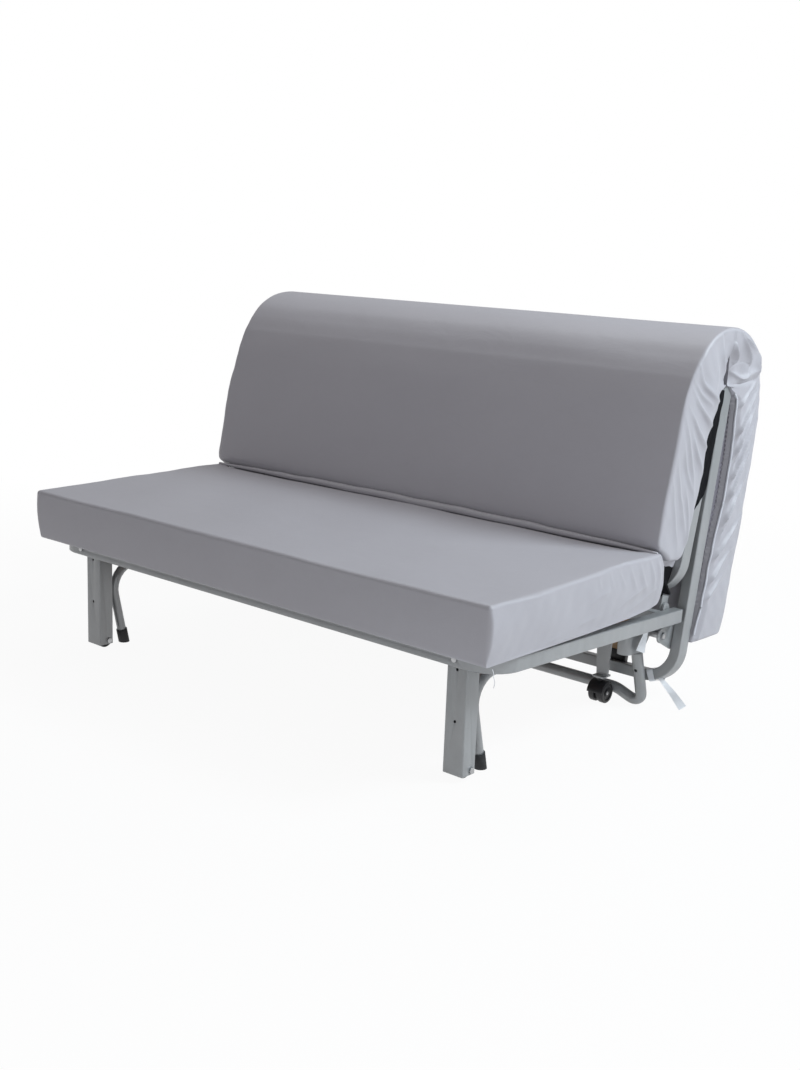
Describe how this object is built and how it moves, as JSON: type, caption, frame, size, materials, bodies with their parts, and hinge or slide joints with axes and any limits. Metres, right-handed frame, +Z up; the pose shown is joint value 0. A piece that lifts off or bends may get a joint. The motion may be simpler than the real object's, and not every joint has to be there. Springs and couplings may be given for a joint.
{
  "type": "futon sofa bed",
  "caption": "Three-section fold-out sofa bed on a grey steel tube frame, with a light grey folded mattress, bowed slats, front leg wheels and rear castors.",
  "frame": {"origin": "on the floor, under the middle of the folded sofa's bounding box", "axes": "+X along the seat to the sitter's left as seen from behind, +Y from the front of the seat to the back, +Z up"},
  "size_m": [1.4, 0.9986, 0.8681],
  "materials": {
    "frame": "satin grey powder coat",
    "bolts": "zinc plated",
    "rubber": "matt",
    "black_plastic": "moulded",
    "beech": "clear lacquer",
    "cover": "satin polyester",
    "ribbon": "woven ribbon"
  },
  "bodies": {
    "base": {"base_side_left": "frame", "base_side_right": "frame", "base_rear_loop": "frame", "foot_caps": "rubber", "pivot_brackets": "frame", "pivot_bolts": "bolts", "pivot_spacers": "bolts"},
    "rear_panel": {"rear_frame_tube": "frame", "rear_top_bar": "frame", "pivot_plates": "frame", "rear_hinge_lugs": "frame", "rear_slats": "beech", "rear_slat_holders": "black_plastic", "top_hinge_bolts": "bolts", "rear_pad": "cover", "rear_roll": "cover", "mattress_ties": "ribbon"},
    "front_panel": {"front_frame_tube": "frame", "front_top_bar": "frame", "front_hinge_lugs": "frame", "seat_hinge_lugs": "frame", "front_slats": "beech", "front_slat_holders": "black_plastic", "front_pad": "cover", "front_roll": "cover"},
    "seat": {"seat_frame_tube": "frame", "seat_rear_bar": "frame", "rail_hinge_plates": "frame", "seat_hinge_bolts": "bolts", "rail_plugs": "black_plastic", "seat_slats": "beech", "seat_slat_holders": "black_plastic", "front_leg_left": "frame", "front_leg_right": "frame", "leg_bolts": "bolts", "front_axles": "bolts", "castor_brackets": "frame", "castor_hoods": "black_plastic", "castor_axles": "bolts", "seat_pad": "cover", "valley_fold": "cover"},
    "wheel_front_left": {"front_wheel_left": "rubber"},
    "wheel_front_right": {"front_wheel_right": "rubber"},
    "castor_left": {"castor_wheels_left": "black_plastic"},
    "castor_right": {"castor_wheels_right": "black_plastic"}
  },
  "joints": [
    {"name": "fold", "type": "hinge", "parent": "base", "child": "rear_panel", "pos_m": [0, 0.20473, 0.1867], "axis": [1, 0, 0], "range_deg": [0, 99.8]},
    {"name": "top_hinge", "type": "hinge", "parent": "rear_panel", "child": "front_panel", "pos_m": [0, 0.34358, 0.74206], "axis": [1, 0, 0], "range_deg": [-176.95, 0.05], "deforming": ["front_roll", "rear_roll"]},
    {"name": "seat_hinge", "type": "hinge", "parent": "front_panel", "child": "seat", "pos_m": [0, 0.21173, 0.247], "axis": [1, 0, 0], "range_deg": [-0.05, 77.15], "deforming": ["valley_fold"]},
    {"name": "wheel_front_right_spin", "type": "hinge", "parent": "seat", "child": "wheel_front_right", "pos_m": [0.575, -0.39858, 0.021], "axis": [1, 0, 0], "continuous": true},
    {"name": "wheel_front_left_spin", "type": "hinge", "parent": "seat", "child": "wheel_front_left", "pos_m": [-0.575, -0.39858, 0.021], "axis": [1, 0, 0], "continuous": true},
    {"name": "castor_right_spin", "type": "hinge", "parent": "seat", "child": "castor_right", "pos_m": [0.521, 0.18773, 0.024], "axis": [1, 0, 0], "continuous": true},
    {"name": "castor_left_spin", "type": "hinge", "parent": "seat", "child": "castor_left", "pos_m": [-0.521, 0.18773, 0.024], "axis": [1, 0, 0], "continuous": true}
  ],
  "couplings": [
    {"joint": "top_hinge", "follows": "fold", "ratio": -1.7725},
    {"joint": "seat_hinge", "follows": "fold", "ratio": 0.77255}
  ]
}
